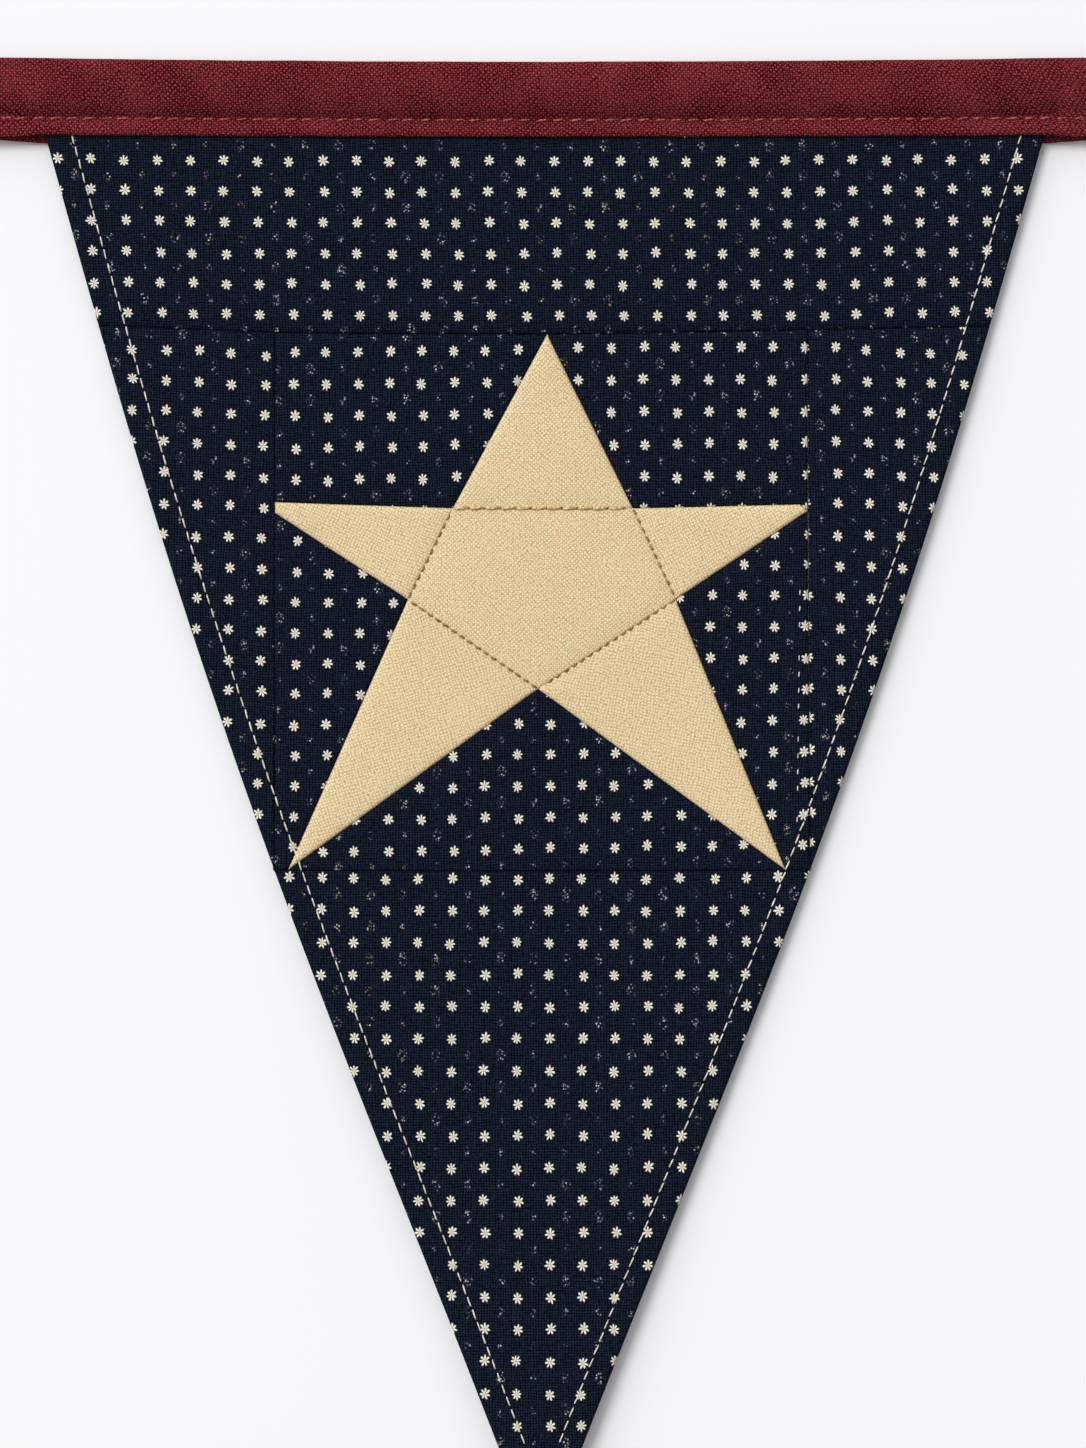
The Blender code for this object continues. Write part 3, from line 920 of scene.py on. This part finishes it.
edgeRuns = [(stitchRun(edgeLine(s), edgeThread, 11 + s), face) for s in (-1, 1) for face in (-1, 1)]
tapeFace, sewnFaces = faces[:1], faces[1:]
layStitches("edge_stitches", edgeRuns, sewnFaces, edgeThread, creamThread, 3)

tapeEnd = tape["length"] / 2 - stitchPlaces["tapeEnd"]
tapeLine = [(x, rise(x) * stitchPlaces["tapeRise"] - tape["stitchDepth"])
            for x in [tapeEnd * (i / 20 - 1) for i in range(41)]]
tapeRuns = [(stitchRun(tapeLine, tapeThread, 21), face) for face in (-1, 1)]
endLines = [[(s * stitchPlaces["turnedEnd"], z) for z in stitchPlaces["turnedRun"]] for s in (-1, 1)]
endRuns = [(stitchRun(line, endThread, 23), face) for line in endLines for face in (-1, 1)]
layStitches("tape_stitches", tapeRuns + endRuns, tapeFace, tapeThread, burgundyThread, 5)

ringNames = ("innerTopLeft", "innerTopRight", "innerRight", "innerLow", "innerLeft", "innerTopLeft")
ring = [(at[name][0], at[name][1] + rise(at[name][0])) for name in ringNames]
starRuns = [(stitchRun([a, b], seamThread, 31 + i), -1) for i, (a, b) in enumerate(zip(ring[1:], ring[2:]))]
(topX, topZ), topEnd = ring[:2]
between = [(topX + topSeamThread["pitch"] / 2, topZ), topEnd]  # where the long stitches go down, short dark thread pieces as painted shade
starRuns.append((stitchRun(between, paintedShadeThread, 37), -1))
layStitches("star_seam_stitches_and_painted_shade", starRuns, sewnFaces, seamThread, tanThread, 7)
layStitches("star_top_seam_stitches", [(stitchRun(ring[:2], topSeamThread, 37), -1)], sewnFaces,
            topSeamThread, ochreThread, 8)

# The piecing of the right-hand seam shows here and there as small pale stitches beside it
strayLine = [(rightTop[0] - inward, z) for inward, z in stitchPlaces["stray"]]
each, missing = stitchPlaces["strayMiss"]
strayRun = [s for i, s in enumerate(stitchRun(strayLine, strayThread, 41)) if i % each != missing]
layStitches("right_seam_stitches", [(strayRun, -1)], sewnFaces, strayThread, creamThread, 9)

print("stage")
# In metres and watts, but for the first two
studio = {
    "wallBehind": 2.45,  # millimetres, clear of the tape's back
    "floorBelow": 300.0,
    "wallSize": 1.6, "wallMiddle": 0.6,
    "floorSize": 30,
    "wallPaint": ("#F6F6F8", "#FBFBFC"),
    "floorPaint": ("#CFCFD1", "#D6D6D8"),
    "white": "#FAFAFB",
    "skyToward": (-0.72, 0, 0.72),  # where it is brightest
    "skyEdge": 0.7,
    "skyAbove": 1.12,
    "skyBelow": 0.2,
    "keyPower": 92.0,
    "keyPlace": (-1.7, -3.7, 1.6),
    "keySize": 1.9,
    "rearPower": 6.0,
    "rearPlace": (0.9, 1.6, 0.9),
    "rearSize": 1.0,
    "aim": (0, 0, -0.126),
}


def stagePlane(name, size, place, facing, material):
    bm = bmesh.new()
    bmesh.ops.create_grid(bm, x_segments=1, y_segments=1, size=size)
    bmesh.ops.rotate(bm, cent=(0, 0, 0), verts=bm.verts,
                     matrix=Vector((0, 0, 1)).rotation_difference(Vector(facing)).to_matrix())
    bmesh.ops.translate(bm, vec=place, verts=bm.verts)
    obj = makeObject(name, bm, [material])
    obj.visible_diffuse = False
    return obj


def paint(name, colours, seeThroughBack):
    material, tree, shader = newMaterial(name, Roughness=0.9, Specular_IOR_Level=0.1)
    place = addNode(tree, "TexCoord", {}, out=3)
    grain = addNode(tree, "TexNoise", {"Vector": place, "Scale": 3.0, "Detail": 2.0})
    tree.links.new(blend(tree, grain, *colours), shader.inputs["Base Color"])
    if seeThroughBack:  # from behind, the backdrop would hide the pennant
        back = addNode(tree, "NewGeometry", {}, out="Backfacing")
        clear = addNode(tree, "BsdfTransparent", {})
        both = addNode(tree, "MixShader", {0: back, 1: shader.outputs[0], 2: clear})
        tree.links.new(both, tree.nodes["Material Output"].inputs[0])
    return material


wall = stagePlane("backdrop", studio["wallSize"], (0, studio["wallBehind"] * mm, studio["wallMiddle"]),
                  (0, -1, 0), paint("backdrop_paint", studio["wallPaint"], True))
wall.visible_shadow = False
stagePlane("floor", studio["floorSize"], (0, 0, -studio["floorBelow"] * mm), (0, 0, 1),
           paint("floor_paint", studio["floorPaint"], False))

world = bpy.data.worlds.new("studio")
bpy.context.scene.world = world
world.use_nodes = True
tree = world.node_tree
sky = tree.nodes["Background"]
sky.inputs["Color"].default_value = linear(studio["white"])
heading = addNode(tree, "TexCoord", {})
heading = addNode(tree, "VectorMath DOT_PRODUCT", {0: heading, 1: studio["skyToward"]}, out=1)
strength = addNode(tree, "MapRange", {0: heading, 1: -studio["skyEdge"], 2: studio["skyEdge"],
                                      3: studio["skyBelow"], 4: studio["skyAbove"]})
tree.links.new(strength, sky.inputs["Strength"])


def areaLight(name):
    light = bpy.data.lights.new(name, "AREA")
    light.shape = "DISK"
    light.size = studio[name + "Size"]
    light.energy = studio[name + "Power"]
    obj = bpy.data.objects.new(name, light)
    obj.location = studio[name + "Place"]
    obj.rotation_euler = (Vector(studio["aim"]) - obj.location).to_track_quat("-Z", "Y").to_euler()
    bpy.context.scene.collection.objects.link(obj)


for name in ("key", "rear"):
    areaLight(name)

# The photograph looks straight at the cloth. One of its 1448 rows is 0.191 mm there.
view = {"rowSize": 0.191, "rows": 1448, "lens": 85.0, "sensor": 36.0, "centre": (-0.19, -126.6)}
camera = bpy.data.cameras.new("camera")
camera.lens = view["lens"]
camera.sensor_width = view["sensor"]
away = view["rowSize"] * view["rows"] / view["sensor"] * view["lens"]
cameraObj = bpy.data.objects.new("camera", camera)
cameraObj.location = (view["centre"][0] * mm, (cloth["front"] - away) * mm, view["centre"][1] * mm)
cameraObj.rotation_euler = (math.radians(90), 0, 0)
bpy.context.scene.collection.objects.link(cameraObj)
bpy.context.scene.camera = cameraObj
bpy.context.scene.view_settings.view_transform = "Standard"
